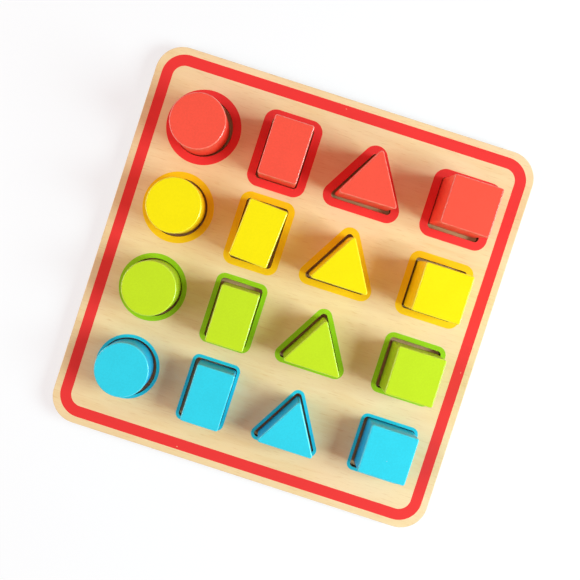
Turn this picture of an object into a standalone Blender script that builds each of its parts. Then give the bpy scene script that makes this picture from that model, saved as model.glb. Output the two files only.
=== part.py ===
"""Wooden shape puzzle: a square board with sixteen cut-outs and a loose painted block in each.

Units are metres. The origin is at the middle of the board's underside, +Z is up, +Y points to the
row of tallest (red) blocks and +X to the column of squares. The board is a thin backing sheet with a
thicker sheet glued on top; the cut-outs go right through the top sheet, and the blocks stand on the
backing.
"""
import math

import bmesh
import bpy
from mathutils import Matrix

# Blocks, measured across the flats
CIRCLE_DIAMETER = 0.0340
RECTANGLE_WIDTH = 0.0244
RECTANGLE_LENGTH = 0.0366
TRIANGLE_SIDE = 0.0374
SQUARE_SIDE = 0.0305
SHORTEST_BLOCK_HEIGHT = 0.0230
HEIGHT_STEP = 0.0050
BLOCK_CORNER_RADIUS = 0.0014
BLOCK_RIM_RADIUS = 0.0009

# Cut-outs, larger than the blocks by the clearance all round
HOLE_CLEARANCE = 0.0014
HOLE_CORNER_EXTRA = 0.0008

# Spacing of the cut-outs, from edge to edge
SIDE_MARGIN = 0.0222
GAP_AFTER_CIRCLE = 0.0219
GAP_AFTER_RECTANGLE = 0.0224
GAP_AFTER_TRIANGLE = 0.0250
ROW_MARGIN = 0.0255

# Board
TOP_THICKNESS = 0.0050
BACKING_THICKNESS = 0.0030
BOARD_CORNER_RADIUS = 0.0175
BOARD_EDGE_ROUND = 0.0004

# Room left between faces that touch, such as the two glued sheets
SEAT_GAP = 0.0003

# Facets: to a full circle, to a rounded corner, and across the rounded edges of boards and blocks
CIRCLE_STEPS = 48
CORNER_STEPS = 5
BOARD_EDGE_STEPS = 1
BLOCK_RIM_STEPS = 2

COLOURS = ("red", "yellow", "green", "blue")
SHAPES = ("circle", "rectangle", "triangle", "square")

# Base colour in linear RGB, and roughness
PAINT = {
    "red": ((0.80, 0.055, 0.035), 0.38),
    "yellow": ((0.88, 0.70, 0.010), 0.38),
    "green": ((0.42, 0.72, 0.012), 0.38),
    "blue": ((0.030, 0.52, 0.72), 0.38),
}
TOP_WOOD = ((0.82, 0.60, 0.32), 0.55)
BACKING_WOOD = ((0.76, 0.55, 0.30), 0.60)

# How each block lies in its cut-out: shares of the free play towards +X and +Y, and of the
# largest turn, anticlockwise from above
LIES = {
    ("red", "circle"): (-0.55, -0.83, 0.0),
    ("red", "rectangle"): (0.45, -0.95, 0.0),
    ("red", "triangle"): (0.11, 0.67, 0.26),
    ("red", "square"): (-1.00, 1.00, 0.0),
    ("yellow", "circle"): (0.25, 0.35, 0.0),
    ("yellow", "rectangle"): (0.80, -0.30, -0.95),
    ("yellow", "triangle"): (0.20, 0.00, 0.0),
    ("yellow", "square"): (-0.15, -0.40, 0.0),
    ("green", "circle"): (0.55, 0.83, 0.0),
    ("green", "rectangle"): (0.80, -1.00, 0.14),
    ("green", "triangle"): (0.20, -0.20, 0.0),
    ("green", "square"): (1.00, -0.80, 0.10),
    ("blue", "circle"): (-0.70, 0.35, 0.0),
    ("blue", "rectangle"): (1.00, 0.30, 0.0),
    ("blue", "triangle"): (0.36, -0.14, 0.0),
    ("blue", "square"): (1.00, 1.00, 0.0),
}

TRIANGLE_INRADIUS = TRIANGLE_SIDE / (2 * math.sqrt(3))
FREE_PLAY = HOLE_CLEARANCE - SEAT_GAP
SEAT_Z = BACKING_THICKNESS + SEAT_GAP


def box_corners(width, length, grow):
    """Corners of a rectangle moved outward by grow, anticlockwise."""
    x, y = width / 2 + grow, length / 2 + grow
    return [(x, y), (-x, y), (-x, -y), (x, -y)]


def shape_corners(shape, grow):
    """Sharp corners of a block shape moved outward by grow, about its own centre."""
    if shape == "rectangle":
        return box_corners(RECTANGLE_WIDTH, RECTANGLE_LENGTH, grow)
    if shape == "square":
        return box_corners(SQUARE_SIDE, SQUARE_SIDE, grow)
    reach = 2 * (TRIANGLE_INRADIUS + grow)
    return [(reach * math.cos(math.radians(a)), reach * math.sin(math.radians(a))) for a in (90, 210, 330)]


def rounded(corners, radius):
    """Outline through anticlockwise convex corners, each replaced by an arc."""
    points = []
    for i, (x, y) in enumerate(corners):
        before, after = corners[i - 1], corners[(i + 1) % len(corners)]
        inward = math.atan2(y - before[1], x - before[0])
        outward = math.atan2(after[1] - y, after[0] - x)
        turn = (outward - inward) % (2 * math.pi)
        tangent = radius * math.tan(turn / 2)
        start_x, start_y = x - tangent * math.cos(inward), y - tangent * math.sin(inward)
        centre_x, centre_y = start_x - radius * math.sin(inward), start_y + radius * math.cos(inward)
        for k in range(CORNER_STEPS + 1):
            angle = inward - math.pi / 2 + turn * k / CORNER_STEPS
            points.append((centre_x + radius * math.cos(angle), centre_y + radius * math.sin(angle)))
    return points


def shape_outline(shape, grow, corner_radius):
    """Outline of a shape moved outward by grow, as points about its own centre."""
    if shape != "circle":
        return rounded(shape_corners(shape, grow), corner_radius)
    radius = CIRCLE_DIAMETER / 2 + grow
    angles = [2 * math.pi * k / CIRCLE_STEPS for k in range(CIRCLE_STEPS)]
    return [(radius * math.cos(a), radius * math.sin(a)) for a in angles]


def hole_outline(shape):
    return shape_outline(shape, HOLE_CLEARANCE, BLOCK_CORNER_RADIUS + HOLE_CORNER_EXTRA)


def block_outline(shape):
    return shape_outline(shape, 0, BLOCK_CORNER_RADIUS)


def extent(points, axis):
    """Lowest and highest coordinate of an outline along one axis."""
    values = [p[axis] for p in points]
    return min(values), max(values)


def column_layout():
    """X of each column, with the board's left edge at 0, and the board's side."""
    gaps = (GAP_AFTER_CIRCLE, GAP_AFTER_RECTANGLE, GAP_AFTER_TRIANGLE, SIDE_MARGIN)
    centres, x = {}, SIDE_MARGIN
    for shape, gap in zip(SHAPES, gaps):
        low, high = extent(hole_outline(shape), 0)
        centres[shape] = x - low
        x += high - low + gap
    return centres, x


COLUMN_X, BOARD_SIDE = column_layout()
TALLEST_HOLE = RECTANGLE_LENGTH + 2 * HOLE_CLEARANCE
ROW_PITCH = (BOARD_SIDE - 2 * ROW_MARGIN - TALLEST_HOLE) / (len(COLOURS) - 1)


def hole_centre(colour, shape):
    """Place of a cut-out's centre on the board; every cut-out is centred in its row by its extent."""
    low, high = extent(hole_outline(shape), 1)
    row = COLOURS.index(colour)
    row_y = BOARD_SIDE / 2 - ROW_MARGIN - TALLEST_HOLE / 2 - row * ROW_PITCH
    return COLUMN_X[shape] - BOARD_SIDE / 2, row_y - (low + high) / 2


def straight_halves(shape):
    """Half the straight length of a block's sides that face X, and of those that face Y."""
    if shape == "circle":
        return 0.0, 0.0
    if shape == "triangle":
        half = TRIANGLE_SIDE / 2 - BLOCK_CORNER_RADIUS * math.sqrt(3)
        return half, half
    width, length = (SQUARE_SIDE, SQUARE_SIDE) if shape == "square" else (RECTANGLE_WIDTH, RECTANGLE_LENGTH)
    return length / 2 - BLOCK_CORNER_RADIUS, width / 2 - BLOCK_CORNER_RADIUS


def block_lie(colour, shape):
    """Shift and turn of a block inside its cut-out, never nearer the wall than the seat gap."""
    share_x, share_y, share_turn = LIES[colour, shape]
    facing_x, facing_y = straight_halves(shape)
    longest = max(facing_x, facing_y)
    turn = math.asin(min(1.0, FREE_PLAY / longest)) * share_turn if longest else 0.0
    room_x = FREE_PLAY - facing_x * math.sin(abs(turn))
    room_y = FREE_PLAY - facing_y * math.sin(abs(turn))
    corner_room = min(room_x, room_y)
    if shape in ("rectangle", "square"):
        corner_room = min(corner_room, max(0.0, HOLE_CORNER_EXTRA - SEAT_GAP))
    reach = max(1.0, math.hypot(share_x, share_y))
    shift_x = (room_x - corner_room) * share_x + corner_room * share_x / reach
    shift_y = (room_y - corner_room) * share_y + corner_room * share_y / reach
    return shift_x, shift_y, turn


def block_height(colour):
    steps_below_tallest = COLOURS.index(colour)
    return SHORTEST_BLOCK_HEIGHT + HEIGHT_STEP * (len(COLOURS) - 1 - steps_below_tallest)


def make_material(name, base_color, roughness):
    material = bpy.data.materials.new(name)
    material.use_nodes = True
    shader = material.node_tree.nodes["Principled BSDF"]
    shader.inputs["Base Color"].default_value = (*base_color, 1.0)
    shader.inputs["Roughness"].default_value = roughness
    material.diffuse_color = (*base_color, 1.0)
    return material


def add_plate(name, outlines, thickness, edge_round, edge_steps, material, collection):
    """A flat plate standing on its own Z = 0; outlines after the first are holes in it."""
    curve = bpy.data.curves.new(name, "CURVE")
    curve.dimensions = "2D"
    curve.fill_mode = "BOTH"
    curve.extrude = thickness / 2
    curve.render_resolution_u = 0
    for points in outlines:
        spline = curve.splines.new("POLY")
        spline.points.add(len(points) - 1)
        for point, (x, y) in zip(spline.points, points):
            point.co = (x, y, 0, 1)
        spline.use_cyclic_u = True
    guide = bpy.data.objects.new(name + "_outline", curve)
    collection.objects.link(guide)
    evaluated = guide.evaluated_get(bpy.context.evaluated_depsgraph_get())
    mesh = bpy.data.meshes.new_from_object(evaluated)
    bpy.data.objects.remove(guide)
    mesh.name = name
    mesh.materials.clear()
    mesh.materials.append(material)

    solid = bmesh.new()
    solid.from_mesh(mesh)
    bmesh.ops.remove_doubles(solid, verts=solid.verts, dist=1e-6)
    bmesh.ops.dissolve_limit(solid, angle_limit=math.radians(0.5), verts=solid.verts, edges=solid.edges)
    bmesh.ops.recalc_face_normals(solid, faces=solid.faces)
    bmesh.ops.transform(solid, matrix=Matrix.Translation((0, 0, thickness / 2)), verts=solid.verts)
    solid.to_mesh(mesh)
    solid.free()

    plate = bpy.data.objects.new(name, mesh)
    collection.objects.link(plate)
    bevel = plate.modifiers.new("rounded edges", "BEVEL")
    bevel.width = edge_round
    bevel.segments = edge_steps
    bevel.limit_method = "ANGLE"
    bevel.angle_limit = math.radians(60)
    mesh.shade_smooth()
    mesh.set_sharp_from_angle(angle=math.radians(40))
    return plate


def add_board(root, collection):
    """The backing sheet, and the sheet with the cut-outs above it."""
    board_outline = rounded(box_corners(BOARD_SIDE, BOARD_SIDE, 0), BOARD_CORNER_RADIUS)
    backing = add_plate("backing_board", [board_outline], BACKING_THICKNESS, BOARD_EDGE_ROUND,
                        BOARD_EDGE_STEPS, make_material("backing wood", *BACKING_WOOD), collection)
    backing.parent = root

    holes = []
    for colour in COLOURS:
        for shape in SHAPES:
            x, y = hole_centre(colour, shape)
            holes.append([(x + px, y + py) for px, py in hole_outline(shape)])
    top = add_plate("top_board", [board_outline, *holes], TOP_THICKNESS, BOARD_EDGE_ROUND,
                    BOARD_EDGE_STEPS, make_material("top wood", *TOP_WOOD), collection)
    top.location.z = SEAT_Z
    top.parent = root


def add_blocks(root, collection):
    """Sixteen blocks: one colour to a row, one shape to a column, taller from row to row."""
    for colour in COLOURS:
        paint = make_material(colour + " paint", *PAINT[colour])
        for shape in SHAPES:
            block = add_plate(f"{colour}_{shape}_block", [block_outline(shape)], block_height(colour),
                              BLOCK_RIM_RADIUS, BLOCK_RIM_STEPS, paint, collection)
            x, y = hole_centre(colour, shape)
            shift_x, shift_y, turn = block_lie(colour, shape)
            block.location = (x + shift_x, y + shift_y, SEAT_Z)
            block.rotation_euler.z = turn
            block.parent = root


def build():
    for old in list(bpy.data.objects):
        bpy.data.objects.remove(old)
    collection = bpy.data.collections.new("shape puzzle")
    bpy.context.scene.collection.children.link(collection)
    root = bpy.data.objects.new("shape_puzzle", None)
    root.empty_display_size = BOARD_SIDE / 2
    collection.objects.link(root)
    add_board(root, collection)
    add_blocks(root, collection)


build()
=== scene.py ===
"""Looks of the wooden shape puzzle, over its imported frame.

Units are metres in the part's own frame: +X along a row, +Y towards the red row, +Z up. The board
becomes two finer sheets with printed rings and border, and each block a painted solid with soft rims.
"""
import math

import bmesh
import bpy
from mathutils import Matrix, Vector
from mathutils.geometry import delaunay_2d_cdt


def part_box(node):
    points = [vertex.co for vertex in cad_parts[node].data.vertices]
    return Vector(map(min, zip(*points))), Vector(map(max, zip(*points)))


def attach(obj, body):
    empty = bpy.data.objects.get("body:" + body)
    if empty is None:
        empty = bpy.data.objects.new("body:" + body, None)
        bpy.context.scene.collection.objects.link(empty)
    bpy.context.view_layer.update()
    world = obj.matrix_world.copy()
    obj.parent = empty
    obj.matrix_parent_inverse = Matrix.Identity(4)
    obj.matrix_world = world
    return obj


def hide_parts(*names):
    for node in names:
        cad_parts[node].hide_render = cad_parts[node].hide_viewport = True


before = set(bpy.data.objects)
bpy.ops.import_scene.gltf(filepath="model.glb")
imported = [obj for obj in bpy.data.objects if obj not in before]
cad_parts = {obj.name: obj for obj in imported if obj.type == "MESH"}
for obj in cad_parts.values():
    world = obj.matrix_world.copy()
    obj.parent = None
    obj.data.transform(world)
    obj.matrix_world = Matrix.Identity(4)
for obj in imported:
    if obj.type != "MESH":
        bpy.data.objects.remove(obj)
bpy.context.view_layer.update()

COLOURS = ("red", "yellow", "green", "blue")
SHAPES = ("circle", "rectangle", "triangle", "square")

# Blocks, cut-outs and spacing, as the part has them
CIRCLE_DIAMETER = 0.0340
RECTANGLE_WIDTH = 0.0244
RECTANGLE_LENGTH = 0.0366
TRIANGLE_SIDE = 0.0374
SQUARE_SIDE = 0.0305
BLOCK_CORNER_RADIUS = 0.0014
BLOCK_RIM_RADIUS = 0.0009
HOLE_CLEARANCE = 0.0014
HOLE_CORNER_RADIUS = 0.0022
SIDE_MARGIN = 0.0222
GAP_AFTER = {"circle": 0.0219, "rectangle": 0.0224, "triangle": 0.0250, "square": SIDE_MARGIN}
ROW_MARGIN = 0.0255
BOARD_CORNER_RADIUS = 0.0175
BOARD_EDGE_ROUND = 0.0004
TURN_DEGREES = {
    "red_triangle": 1.01,
    "yellow_rectangle": -3.55,
    "green_rectangle": 0.52,
    "green_square": 0.46,
}

# Print: width of the ring round each cut-out, and the border
RING_WIDTH = {"red": 0.0055, "yellow": 0.0044, "green": 0.0033, "blue": 0.0022}
BORDER_INSET = 0.0044
BORDER_WIDTH = 0.0071
BORDER_CORNER_RADIUS = 0.0150
HOLE_RIM_RADIUS = 0.00030

# Plywood: gap between the sheets, their outer plies, and the dark line of glue between plies
GLUE_LINE = 0.00005
TOP_VENEER = 0.0011
BACKING_VENEER = 0.0007
PLY_GLUE = 0.00012

# Points to a full circle, to a small corner and to a corner of the board, steps across a rounded edge
# and across the rim of a cut-out, and the angle from which an edge is shaded sharp
CIRCLE_STEPS = 120
CORNER_STEPS = 12
BOARD_CORNER_STEPS = 20
RIM_STEPS = 4
HOLE_RIM_STEPS = 3
SHARP_DEGREES = 50

# For filling a flat face: the kind of result, and how near two points may lie
TRIANGLES_INSIDE = 1
MERGE_DISTANCE = 1e-7

BOARD_LOW, BOARD_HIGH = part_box("top_board")
BACKING_LOW, BACKING_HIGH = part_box("backing_board")
BOARD_SIDE = BOARD_HIGH.x - BOARD_LOW.x
BOARD_TOP = BOARD_HIGH.z
TRIANGLE_INRADIUS = TRIANGLE_SIDE / (2 * math.sqrt(3))

# Colours, linear RGB
BIRCH_LIGHT = (0.935, 0.75, 0.425)
BIRCH_DARK = (0.85, 0.605, 0.29)
RAW_LIGHT = (0.97, 0.65, 0.33)
RAW_DARK = (0.92, 0.54, 0.25)
GLUE_BROWN = (0.16, 0.08, 0.035)
CUT_BROWN = (0.42, 0.24, 0.10)
EDGE_LIGHT = (0.90, 0.69, 0.40)
HOLE_RIM_BROWN = (0.25, 0.13, 0.055)
# Pale tint for the rims: partly bare wood, partly a painted highlight
BARE_WOOD_AND_HIGHLIGHT = (0.97, 0.80, 0.66)
INK = {
    "red": (0.88, 0.045, 0.042),
    "yellow": (0.99, 0.64, 0.008),
    "green": (0.33, 0.66, 0.012),
    "blue": (0.020, 0.61, 0.76),
}
PAINT = {
    "red": (0.98, 0.101, 0.060),
    "yellow": (0.98, 0.86, 0.003),
    "green": (0.57, 0.83, 0.018),
    "blue": (0.034, 0.70, 0.88),
}
# Sides of the blocks: darker, deeper copies of the paint, painted shade of the sides
SHADED_SIDE_PAINT = {
    "red": (0.98, 0.09, 0.055),
    "yellow": (0.99, 0.70, 0.003),
    "green": (0.42, 0.62, 0.016),
    "blue": (0.020, 0.48, 0.86),
}

# How much darker a thin coat is, how pale the rims are from wear and painted highlight, and how much colour
# the cut walls keep under painted shade
COAT_UNEVEN = {"red": 0.05, "yellow": 0.03, "green": 0.04, "blue": 0.05}
RIM_WEAR_AND_HIGHLIGHT = {"red": 0.16, "yellow": 0.01, "green": 0.03, "blue": 0.03}
CUT_WALL_PAINTED_SHADE = 0.15

# Factors on red, green and blue for the wood's pinkish patches and its dark flecks
BLUSH = (1.0, 0.92, 1.04)
FLECK = (0.82, 0.68, 0.50)

# Roughness and shine of each surface; both rise a little over the figure or the coat
LACQUERED = (0.45, 0.25)
RAW = (0.7, 0.02)
CUT_EDGE = (0.62, 0.2)
# Finish of the cut walls, whose dark colour is painted shade
CUT_WALL_FINISH = (0.62, 0.03)
HOLE_RIM_FINISH = (0.7, 0.03)
PRINTED = (0.42, 0.12)
PAINTED = (0.28, 0.16)
WORN = (0.16, 0.7)
PAPER = (0.9, 0.0)

# Flaws in the print, where the birch shows: centre, reach along X and along Y, and how bare
CHIPS = (
    (0.0272, 0.0634, 0.0021, 0.0007, 1.0),
    (-0.0387, -0.1189, 0.0005, 0.0003, 0.5),
    (0.1185, -0.0184, 0.0003, 0.0006, 0.35),
    (-0.1137, 0.0493, 0.0003, 0.0002, 0.5),
    (-0.0019, 0.1184, 0.0005, 0.0002, 0.5),
)

# A bubble in the paint on the blue square's top
BUBBLE_AT = (0.0873, -0.0826, 0.0263)
BUBBLE_RADIUS = 0.00045
BUBBLE_COLOUR = (0.60, 0.85, 0.88)

# Camera: over this point of the board, at this height above its face
CAMERA_OVER = (-0.02175, 0.02575)
CAMERA_HEIGHT = 0.5
CAMERA_TURN_DEGREES = (-0.895, 0.610, 17.839)
CAMERA_LENS = 48.886
CAMERA_SHIFT = (0.0460, -0.0669)

# Light: a large soft lamp from the squares' side, a weaker one facing it, a dim warm sky and white paper
LAMP_DISTANCE = 1.2
KEY_DIRECTION_DEGREES = 2.0
KEY_ELEVATION_DEGREES = 33.0
KEY_SIZE = (0.62, 0.58)
KEY_WATTS = 17.4
KEY_COLOUR = (0.71, 0.955, 0.985)
FILL_DIRECTION_DEGREES = 189.0
FILL_ELEVATION_DEGREES = 32.0
FILL_SIZE = (0.90, 0.80)
FILL_WATTS = 6.2
FILL_COLOUR = (0.97, 0.98, 1.0)
SKY_STRENGTH = 0.41
SKY_COLOUR = (1.0, 0.56, 0.49)
FLOOR_SIZE = 12.0
PAPER_COLOUR = (0.9, 0.9, 0.9)
PAPER_GLOW = 0.65
PAPER_TINT = (0.99, 1.02, 1.035)
WHITE = (1.0, 1.0, 1.0)


def box_corners(width, length, grow):
    x, y = width / 2 + grow, length / 2 + grow
    return [(x, y), (-x, y), (-x, -y), (x, -y)]


def shape_corners(shape, grow):
    """Sharp corners of a block shape moved outward by grow, about its own centre."""
    if shape == "rectangle":
        return box_corners(RECTANGLE_WIDTH, RECTANGLE_LENGTH, grow)
    if shape == "square":
        return box_corners(SQUARE_SIDE, SQUARE_SIDE, grow)
    reach = 2 * (TRIANGLE_INRADIUS + grow)
    return [(reach * math.cos(math.radians(a)), reach * math.sin(math.radians(a))) for a in (90, 210, 330)]


def rounded(corners, radius, steps):
    """Outline through anticlockwise convex corners, each replaced by an arc."""
    points = []
    for i, (x, y) in enumerate(corners):
        before, after = corners[i - 1], corners[(i + 1) % len(corners)]
        inward = math.atan2(y - before[1], x - before[0])
        outward = math.atan2(after[1] - y, after[0] - x)
        turn = (outward - inward) % (2 * math.pi)
        tangent = radius * math.tan(turn / 2)
        start_x, start_y = x - tangent * math.cos(inward), y - tangent * math.sin(inward)
        centre_x, centre_y = start_x - radius * math.sin(inward), start_y + radius * math.cos(inward)
        for k in range(steps + 1):
            angle = inward - math.pi / 2 + turn * k / steps
            points.append((centre_x + radius * math.cos(angle), centre_y + radius * math.sin(angle)))
    return points


def shape_outline(shape, grow, corner_radius):
    """Outline of a shape moved outward by grow, as points about its own centre."""
    if shape != "circle":
        return rounded(shape_corners(shape, grow), corner_radius, CORNER_STEPS)
    radius = CIRCLE_DIAMETER / 2 + grow
    angles = [2 * math.pi * k / CIRCLE_STEPS for k in range(CIRCLE_STEPS)]
    return [(radius * math.cos(a), radius * math.sin(a)) for a in angles]


def hole_outline(shape, grow=0.0):
    return shape_outline(shape, HOLE_CLEARANCE + grow, HOLE_CORNER_RADIUS + grow)


def block_outline(shape, grow=0.0):
    return shape_outline(shape, grow, BLOCK_CORNER_RADIUS + grow)


def board_outline(inset, corner_radius):
    return rounded(box_corners(BOARD_SIDE, BOARD_SIDE, -inset), corner_radius, BOARD_CORNER_STEPS)


def extent(points, axis):
    values = [p[axis] for p in points]
    return min(values), max(values)


def hole_centres():
    """Centre of each cut-out on the board; every cut-out is centred in its row by its extent."""
    tallest = RECTANGLE_LENGTH + 2 * HOLE_CLEARANCE
    pitch = (BOARD_SIDE - 2 * ROW_MARGIN - tallest) / (len(COLOURS) - 1)
    centres, edge = {}, SIDE_MARGIN - BOARD_SIDE / 2
    for shape in SHAPES:
        left, right = extent(hole_outline(shape), 0)
        front, back = extent(hole_outline(shape), 1)
        for row, colour in enumerate(COLOURS):
            row_y = BOARD_SIDE / 2 - ROW_MARGIN - tallest / 2 - row * pitch
            centres[colour, shape] = (edge - left, row_y - (front + back) / 2)
        edge += right - left + GAP_AFTER[shape]
    return centres


def rim(radius, steps):
    """Pairs of inset and drop across a rounded edge, from the flat face over to the side."""
    angles = [math.pi / 2 * k / steps for k in range(steps + 1)]
    return [(radius * (1 - math.sin(a)), radius * (1 - math.cos(a))) for a in angles]


class Solid:
    """A mesh built from level loops of points and the faces between them."""

    def __init__(self):
        self.mesh = bmesh.new()

    def loop(self, points, z, centre=(0.0, 0.0)):
        return [self.mesh.verts.new((x + centre[0], y + centre[1], z)) for x, y in points]

    def band(self, first, second, slot):
        """Faces between two loops with as many points each."""
        count = len(first)
        for i in range(count):
            j = (i + 1) % count
            face = self.mesh.faces.new((first[i], first[j], second[j], second[i]))
            face.material_index = slot

    def cap(self, loop, slot):
        self.mesh.faces.new(loop).material_index = slot

    def field(self, loops, slot):
        """Flat face inside the first loop, with the other loops, all convex, as holes."""
        corners = [vertex for loop in loops for vertex in loop]
        owner = [number for number, loop in enumerate(loops) for vertex in loop]
        edges, start = [], 0
        for loop in loops:
            edges += [(start + i, start + (i + 1) % len(loop)) for i in range(len(loop))]
            start += len(loop)
        points = [vertex.co.to_2d() for vertex in corners]
        made = delaunay_2d_cdt(points, edges, [], TRIANGLES_INSIDE, MERGE_DISTANCE, True)
        triangles, sources = made[2], made[3]
        for triangle in triangles:
            ends = [sources[i][0] for i in triangle]
            if owner[ends[0]] and len({owner[i] for i in ends}) == 1:
                continue
            self.mesh.faces.new([corners[i] for i in ends]).material_index = slot

    def finish(self, name, materials):
        """The mesh as a smooth object whose flat faces keep flat shading."""
        bmesh.ops.recalc_face_normals(self.mesh, faces=self.mesh.faces)
        data = bpy.data.meshes.new(name)
        self.mesh.to_mesh(data)
        self.mesh.free()
        for material in materials:
            data.materials.append(material)
        data.shade_smooth()
        data.set_sharp_from_angle(angle=math.radians(SHARP_DEGREES))
        piece = bpy.data.objects.new(name, data)
        bpy.context.scene.collection.objects.link(piece)
        weighted = piece.modifiers.new("flat faces", "WEIGHTED_NORMAL")
        weighted.keep_sharp = True
        return piece


class Nodes:
    """Short ways to add nodes to a material's or the world's tree."""

    def __init__(self, tree):
        self.tree = tree

    def add(self, kind, inputs, **settings):
        """A node with its settings and inputs, each input a value or another node's output."""
        node = self.tree.nodes.new(kind)
        for key, value in settings.items():
            setattr(node, key, value)
        for key, value in inputs.items():
            if isinstance(value, bpy.types.NodeSocket):
                self.tree.links.new(value, node.inputs[key])
            else:
                node.inputs[key].default_value = value
        return node

    def math(self, operation, *values):
        return self.add("ShaderNodeMath", dict(enumerate(values)), operation=operation).outputs[0]

    def mix(self, factor, first, second):
        return self.add("ShaderNodeMix", {0: factor, 6: first, 7: second}, data_type="RGBA").outputs[2]

    def seen(self):
        """1 on what the camera sees, straight or in gloss or glass, and 0 for light on the object."""
        path = self.add("ShaderNodeLightPath", {}).outputs
        direct = self.math("MAXIMUM", path["Is Camera Ray"], path["Is Glossy Ray"])
        return self.math("MAXIMUM", direct, path["Is Transmission Ray"])


class Surface(Nodes):
    """A material around one Principled shader, whose finish is its roughness and shine."""

    def __init__(self, name, finish):
        self.material = bpy.data.materials.new(name)
        self.material.use_nodes = True
        super().__init__(self.material.node_tree)
        self.shader = self.tree.nodes["Principled BSDF"]
        self.roughness, shine = finish
        self.shader.inputs["Roughness"].default_value = self.roughness
        self.shader.inputs["Specular IOR Level"].default_value = shine
        self.place = self.add("ShaderNodeTexCoord", {}).outputs["Object"]

    def noise(self, per_metre, detail=2.0, place=None):
        """Noise from 0 to 1, with this many lumps to the metre along each axis."""
        at = self.add("ShaderNodeMapping", {"Vector": place or self.place, "Scale": per_metre})
        values = {"Vector": at.outputs["Vector"], "Scale": 1.0, "Detail": detail}
        return self.add("ShaderNodeTexNoise", values).outputs[0]

    def bent(self, per_metre, sway):
        """The place, swayed by slow noise, so that grain wanders."""
        at = self.add("ShaderNodeMapping", {"Vector": self.place, "Scale": per_metre})
        slow = self.add("ShaderNodeTexNoise", {"Vector": at.outputs["Vector"], "Scale": 1.0, "Detail": 1.0})
        values = {0: slow.outputs[1], 1: sway, 2: self.place}
        return self.add("ShaderNodeVectorMath", values, operation="MULTIPLY_ADD").outputs[0]

    def between(self, value, low, high, to_low=0.0, to_high=1.0):
        """A value read between two limits and spread over two others."""
        values = {0: value, 1: low, 2: high, 3: to_low, 4: to_high}
        return self.add("ShaderNodeMapRange", values, interpolation_type="SMOOTHSTEP").outputs[0]

    def roughen(self, value, low, high, more):
        """More roughness as a value rises between two limits."""
        self.set("Roughness", self.between(value, low, high, self.roughness, self.roughness + more))

    def bump(self, height, distance, strength):
        values = {"Height": height, "Distance": distance, "Strength": strength}
        normal = self.add("ShaderNodeBump", values).outputs["Normal"]
        self.tree.links.new(normal, self.shader.inputs["Normal"])

    def set(self, socket, value):
        self.tree.links.new(value, self.shader.inputs[socket])


def rgba(colour):
    return (*colour, 1.0)


def scaled(colour, factor):
    return rgba([c * factor for c in colour])


def tinted(colour, tint):
    return rgba([c * t for c, t in zip(colour, tint)])


def grain(surface):
    """Rotary-cut birch along X: broad mottled figure, soft streaks and fine fibres, each from 0 to 1."""
    place = surface.bent((9.0, 14.0, 9.0), (0.0, 0.010, 0.0))
    figure = surface.between(surface.noise((11.0, 34.0, 34.0), 3.0, place), 0.32, 0.70)
    streaks = surface.between(surface.noise((30.0, 300.0, 300.0), 4.0, place), 0.34, 0.74)
    fibres = surface.noise((150.0, 2400.0, 2400.0), 2.0, place)
    return figure, streaks, fibres


def birch(name, light, dark, finish):
    """Planed birch, shiny under clear lacquer and dull where it is raw."""
    surface = Surface(name, finish)
    figure, streaks, fibres = grain(surface)
    amount = surface.math("MULTIPLY_ADD", streaks, 0.40, surface.math("MULTIPLY", figure, 0.45))
    amount = surface.math("MULTIPLY_ADD", fibres, 0.16, amount)
    colour = surface.mix(amount, rgba(light), rgba(dark))
    blush = surface.between(surface.noise((16.0, 24.0, 24.0), 2.0), 0.40, 0.75, 0.0, 0.5)
    colour = surface.mix(blush, colour, tinted(light, BLUSH))
    flecks = surface.between(surface.noise((130.0, 1300.0, 1300.0), 2.0), 0.56, 0.76, 0.0, 0.36)
    colour = surface.mix(flecks, colour, tinted(dark, FLECK))
    surface.set("Base Color", colour)
    surface.roughen(figure, 0.0, 1.0, 0.08)
    surface.bump(fibres, 0.00004, 0.35)
    return surface.material


def ply_edge(name, low, high, veneer, finish, shade=1.0):
    """Cut edge of a three-ply sheet between two heights, long grain outside; a shade below 1 is painted
    shade.
    """
    surface = Surface(name, finish)
    height = surface.add("ShaderNodeSeparateXYZ", {0: surface.place}).outputs["Z"]
    share = surface.add("ShaderNodeMapRange", {0: height, 1: low, 2: high}).outputs[0]
    plies = surface.add("ShaderNodeValToRGB", {"Fac": share})
    ramp = plies.color_ramp
    ramp.interpolation = "CONSTANT"
    inner, line = veneer / (high - low), PLY_GLUE / (high - low)
    stops = ((0.0, EDGE_LIGHT), (inner, GLUE_BROWN), (inner + line, CUT_BROWN),
             (1 - inner - line, GLUE_BROWN), (1 - inner, EDGE_LIGHT))
    for position, colour in stops[2:]:
        ramp.elements.new(position)
    for element, (position, colour) in zip(ramp.elements, stops):
        element.position, element.color = position, scaled(colour, shade)
    ends = surface.between(surface.noise((900.0, 900.0, 2600.0), 3.0), 0.35, 0.7)
    stain = surface.between(ends, 0.0, 1.0, 0.0, 0.35)
    colour = surface.mix(stain, plies.outputs["Color"], scaled(GLUE_BROWN, shade))
    surface.set("Base Color", colour)
    surface.bump(ends, 0.00006, 0.5)
    return surface.material


def dark_hole_rim(name):
    """The upper edge of a cut-out, dark brown."""
    surface = Surface(name, HOLE_RIM_FINISH)
    rough = surface.noise((700.0, 700.0, 700.0), 3.0)
    surface.set("Base Color", surface.mix(rough, scaled(HOLE_RIM_BROWN, 0.7), scaled(HOLE_RIM_BROWN, 1.3)))
    surface.bump(rough, 0.00005, 0.5)
    return surface.material


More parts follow.
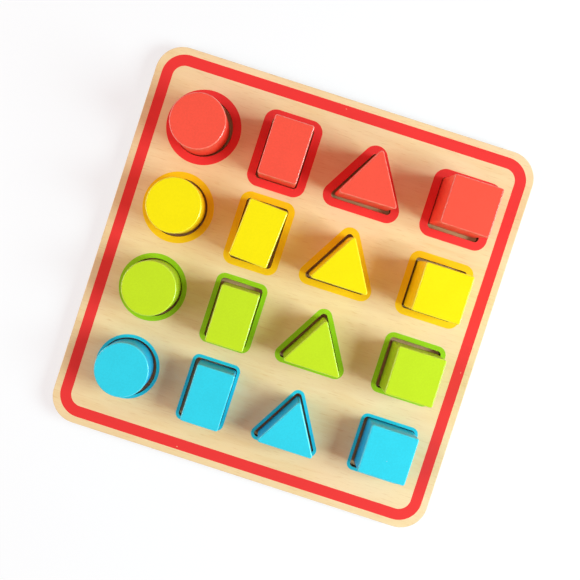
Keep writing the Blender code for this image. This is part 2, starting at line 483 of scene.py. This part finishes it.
def chipped(surface):
    """How bare the birch is: above 0 where ink is missing, 0 elsewhere."""
    ragged = surface.math("MULTIPLY_ADD", surface.noise((2600.0, 2600.0, 2600.0), 2.0), 0.9, -0.45)
    found = None
    for x, y, reach_x, reach_y, bareness in CHIPS:
        values = {"Vector": surface.place, "Location": (-x / reach_x, -y / reach_y, 0.0),
                  "Scale": (1 / reach_x, 1 / reach_y, 0.0)}
        across = surface.add("ShaderNodeMapping", values).outputs["Vector"]
        distance = surface.add("ShaderNodeVectorMath", {0: across}, operation="LENGTH").outputs["Value"]
        inside = surface.between(surface.math("ADD", distance, ragged), 0.85, 1.15, bareness, 0.0)
        found = inside if found is None else surface.math("MAXIMUM", found, inside)
    return found


def ink(name, colour, flawed):
    """Ink printed on the birch, whose figure and fibres show through a little."""
    surface = Surface(name, PRINTED)
    figure, streaks, fibres = grain(surface)
    amount = surface.math("MULTIPLY_ADD", streaks, 0.5, surface.between(figure, 0.0, 1.0, 0.0, 0.5))
    shaded = surface.mix(amount, rgba(colour), scaled(colour, 0.955))
    height = fibres
    if flawed:
        chips = chipped(surface)
        shaded = surface.mix(chips, shaded, rgba(BIRCH_LIGHT))
        height = surface.math("SUBTRACT", fibres, chips)
    surface.set("Base Color", shaded)
    surface.bump(height, 0.00003, 0.3)
    return surface.material


def paint(name, colour, uneven, wear_and_highlight, bubble=None):
    """Satin paint on sanded wood: slightly uneven coat, raised grain, rare specks; rims paler by wear and
    painted highlight.
    """
    surface = Surface(name, WORN if wear_and_highlight else PAINTED)
    coat = surface.noise((70.0, 70.0, 70.0), 3.0)
    wandering = surface.bent((30.0, 30.0, 30.0), (0.0, 0.003, 0.003))
    raised = surface.noise((90.0, 1100.0, 1100.0), 2.0, wandering)
    peel = surface.noise((900.0, 900.0, 900.0), 2.0)
    cells = surface.add("ShaderNodeTexVoronoi", {"Vector": surface.place, "Scale": 160.0})
    rare = surface.between(cells.outputs["Color"], 0.80, 0.81)
    near = surface.between(cells.outputs["Distance"], 0.04, 0.09, 1.0, 0.0)
    specks = surface.math("MULTIPLY", rare, near)
    patches = surface.math("MULTIPLY_ADD", peel, 0.6, surface.math("MULTIPLY", coat, 0.4))
    base = surface.mix(surface.between(patches, 0.38, 0.62), scaled(colour, 1 - uneven), rgba(colour))
    base = surface.mix(surface.between(specks, 0.0, 1.0, 0.0, 0.25), base, scaled(colour, 0.6))
    # Paler rims: partly worn paint, partly a painted highlight on the rounded edge
    if wear_and_highlight:
        patchy = surface.noise((420.0, 420.0, 420.0), 3.0)
        rubbed_and_highlit = surface.between(patchy, 0.35, 0.65, wear_and_highlight * 0.35, wear_and_highlight * 1.25)
        base = surface.mix(rubbed_and_highlit, base, rgba(BARE_WOOD_AND_HIGHLIGHT))
    height = surface.math("ADD", surface.math("MULTIPLY_ADD", peel, 0.5, raised), specks)
    if bubble:
        away = surface.add("ShaderNodeVectorMath", {0: surface.place, 1: bubble}, operation="DISTANCE")
        dome = surface.between(away.outputs["Value"], 0.0, BUBBLE_RADIUS, 1.0, 0.0)
        base = surface.mix(surface.math("MULTIPLY", dome, 0.6), base, rgba(BUBBLE_COLOUR))
        height = surface.math("MULTIPLY_ADD", dome, 4.0, height)
    surface.set("Base Color", base)
    surface.roughen(coat, 0.3, 0.7, 0.07)
    surface.bump(height, 0.00003, 0.35)
    return surface.material


def white_paper(name):
    """Plain pale floor: it glows a little to the camera, so that it reads white, and keeps its shadows."""
    surface = Surface(name, PAPER)
    seen = surface.seen()
    surface.set("Base Color", surface.mix(seen, rgba(PAPER_COLOUR), scaled(WHITE, 1 - PAPER_GLOW)))
    surface.shader.inputs["Emission Color"].default_value = rgba(PAPER_TINT)
    surface.set("Emission Strength", surface.math("MULTIPLY", seen, PAPER_GLOW))
    return surface.material


def make_materials():
    faces = {
        "face": birch("birch face", BIRCH_LIGHT, BIRCH_DARK, LACQUERED),
        "raw": birch("raw birch", RAW_LIGHT, RAW_DARK, RAW),
        "top edge": ply_edge("top sheet edge", BACKING_HIGH.z, BOARD_TOP, TOP_VENEER, CUT_EDGE),
        "backing edge": ply_edge("backing edge", BACKING_LOW.z, BACKING_HIGH.z, BACKING_VENEER, CUT_EDGE),
        # Walls of the cut-outs, darkened with painted shade so that the narrow gaps read dark
        "cut wall": ply_edge("cut wall", BACKING_HIGH.z, BOARD_TOP, TOP_VENEER, CUT_WALL_FINISH, CUT_WALL_PAINTED_SHADE),
        "dark hole rim": dark_hole_rim("dark hole rim"),
    }
    for colour in COLOURS:
        faces[colour + " ink"] = ink(colour + " ink", INK[colour], colour == "red")
        bubble = BUBBLE_AT if colour == "blue" else None
        faces[colour + " paint"] = paint(colour + " paint", PAINT[colour], COAT_UNEVEN[colour], 0.0, bubble)
        # The sides take the darker copy of the paint: painted shade
        faces[colour + " side"] = paint(colour + " side", SHADED_SIDE_PAINT[colour], COAT_UNEVEN[colour], 0.0)
        # Rims: paler paint, partly wear and partly a painted highlight
        faces[colour + " rim"] = paint(colour + " rim", PAINT[colour], COAT_UNEVEN[colour], RIM_WEAR_AND_HIGHLIGHT[colour])
    return faces


def edge_loops(solid, outline, low, high, radius, slots):
    """Bottom and top loop of a plate, with its side between them; both its edges are rounded.

    The outline takes an inset, and the slots are for the faces, the upper rim and the side.
    """
    face_slot, rim_slot, side_slot = slots
    rounding = rim(radius, RIM_STEPS)
    turned = [(outline(inset), low + drop) for inset, drop in rounding]
    turned += [(outline(inset), high - drop) for inset, drop in reversed(rounding)]
    loops = [solid.loop(points, z) for points, z in turned]
    kinds = [face_slot] * RIM_STEPS + [side_slot] + [rim_slot] * (RIM_STEPS - 1) + [face_slot]
    for kind, first, second in zip(kinds, loops, loops[1:]):
        solid.band(first, second, kind)
    return loops[0], loops[-1]


def rounded_board(inset):
    return board_outline(inset, BOARD_CORNER_RADIUS - inset)


def add_top_sheet(materials):
    """The printed sheet, with its sixteen cut-outs right through."""
    names = ["face", "top edge", "cut wall", "dark hole rim"] + [colour + " ink" for colour in COLOURS]
    slots = {name: i for i, name in enumerate(names)}
    solid = Solid()
    low = BACKING_HIGH.z + GLUE_LINE
    bottom, top = edge_loops(solid, rounded_board, low, BOARD_TOP, BOARD_EDGE_ROUND,
                             (slots["face"], slots["face"], slots["top edge"]))
    inner_radius = BORDER_CORNER_RADIUS - BORDER_WIDTH
    border_outer = solid.loop(board_outline(BORDER_INSET, BORDER_CORNER_RADIUS), BOARD_TOP)
    border_inner = solid.loop(board_outline(BORDER_INSET + BORDER_WIDTH, inner_radius), BOARD_TOP)
    solid.band(top, border_outer, slots["face"])
    solid.band(border_outer, border_inner, slots["red ink"])

    rings, feet = [], []
    for (colour, shape), centre in hole_centres().items():
        ink_slot = slots[colour + " ink"]
        previous = solid.loop(hole_outline(shape, RING_WIDTH[colour]), BOARD_TOP, centre)
        rings.append(previous)
        for inset, drop in rim(HOLE_RIM_RADIUS, HOLE_RIM_STEPS):
            step = solid.loop(hole_outline(shape, inset), BOARD_TOP - drop, centre)
            solid.band(previous, step, slots["dark hole rim"] if drop > HOLE_RIM_RADIUS / 4 else ink_slot)
            previous = step
        foot = solid.loop(hole_outline(shape), low, centre)
        # Cut wall, darkened with painted shade
        solid.band(previous, foot, slots["cut wall"])
        feet.append(foot)
    solid.field([border_inner, *rings], slots["face"])
    solid.field([bottom, *feet], slots["face"])
    piece = solid.finish("printed_sheet", [materials[name] for name in names])
    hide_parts("top_board")
    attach(piece, "board")


def add_backing_sheet(materials):
    """The plain sheet under it, whose raw face is the floor of the cut-outs."""
    solid = Solid()
    bottom, top = edge_loops(solid, rounded_board, BACKING_LOW.z, BACKING_HIGH.z, BOARD_EDGE_ROUND,
                             (0, 0, 1))
    solid.cap(bottom, 0)
    solid.cap(top, 2)
    piece = solid.finish("backing_sheet", [materials["face"], materials["backing edge"], materials["raw"]])
    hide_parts("backing_board")
    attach(piece, "board")


def block_place(node, shape, turn):
    """Turn and shift that bring a block's outline to where its solid lies."""
    low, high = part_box(node)
    turned = [Matrix.Rotation(turn, 2) @ Vector(point) for point in block_outline(shape)]
    left, right = extent(turned, 0)
    front, back = extent(turned, 1)
    middle = Vector(((low.x + high.x - left - right) / 2, (low.y + high.y - front - back) / 2, 0.0))
    return Matrix.Translation(middle) @ Matrix.Rotation(turn, 4, "Z")


def add_block(colour, shape, materials):
    node = f"{colour}_{shape}_block"
    low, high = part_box(node)
    solid = Solid()
    bottom, top = edge_loops(solid, lambda inset: block_outline(shape, -inset), low.z, high.z,
                             BLOCK_RIM_RADIUS, (0, 1, 2))
    solid.cap(bottom, 0)
    solid.cap(top, 0)
    place = block_place(node, shape, math.radians(TURN_DEGREES.get(f"{colour}_{shape}", 0.0)))
    bmesh.ops.transform(solid.mesh, matrix=place, verts=solid.mesh.verts)
    # Top and foot, rims, and sides in the darker paint that paints their shade
    names = [colour + " paint", colour + " rim", colour + " side"]
    piece = solid.finish(f"painted_{colour}_{shape}", [materials[name] for name in names])
    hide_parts(node)
    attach(piece, f"{colour}_{shape}")


def add_sky():
    """World that reads white to the camera and in gloss, and lights the board a little from all round."""
    world = bpy.data.worlds.new("soft studio")
    world.use_nodes = True
    background = world.node_tree.nodes["Background"]
    nodes = Nodes(world.node_tree)
    seen = nodes.seen()
    strength = nodes.math("MULTIPLY_ADD", seen, 1 - SKY_STRENGTH, SKY_STRENGTH)
    nodes.tree.links.new(strength, background.inputs["Strength"])
    nodes.tree.links.new(nodes.mix(seen, rgba(SKY_COLOUR), rgba(WHITE)), background.inputs["Color"])
    bpy.context.scene.world = world


def add_lamp(name, direction, elevation, size, watts, colour):
    """Soft lamp of a given width and height, aimed at the middle of the board's foot."""
    turn, rise = math.radians(direction), math.radians(elevation)
    towards = Vector((math.cos(rise) * math.cos(turn), math.cos(rise) * math.sin(turn), math.sin(rise)))
    light = bpy.data.lights.new(name, "AREA")
    light.shape = "RECTANGLE"
    light.size, light.size_y = size
    light.energy = watts
    light.color = colour
    lamp = bpy.data.objects.new(name, light)
    lamp.location = towards * LAMP_DISTANCE
    lamp.rotation_euler = towards.to_track_quat("Z", "Y").to_euler()
    lamp.visible_camera = False
    bpy.context.scene.collection.objects.link(lamp)


def add_studio():
    """White floor and the two lamps."""
    bpy.ops.mesh.primitive_plane_add(size=FLOOR_SIZE)
    floor = bpy.context.object
    floor.name = "studio_floor"
    floor.data.materials.append(white_paper("white paper"))
    add_lamp("key", KEY_DIRECTION_DEGREES, KEY_ELEVATION_DEGREES, KEY_SIZE, KEY_WATTS, KEY_COLOUR)
    add_lamp("fill", FILL_DIRECTION_DEGREES, FILL_ELEVATION_DEGREES, FILL_SIZE, FILL_WATTS, FILL_COLOUR)


def add_camera():
    data = bpy.data.cameras.new("camera")
    data.lens = CAMERA_LENS
    data.shift_x, data.shift_y = CAMERA_SHIFT
    camera = bpy.data.objects.new("camera", data)
    camera.location = (*CAMERA_OVER, BOARD_TOP + CAMERA_HEIGHT)
    camera.rotation_euler = [math.radians(a) for a in CAMERA_TURN_DEGREES]
    bpy.context.scene.collection.objects.link(camera)
    bpy.context.scene.camera = camera


materials = make_materials()
add_top_sheet(materials)
add_backing_sheet(materials)
for colour in COLOURS:
    for shape in SHAPES:
        add_block(colour, shape, materials)
add_sky()
add_studio()
add_camera()
bpy.context.scene.view_settings.view_transform = "Standard"
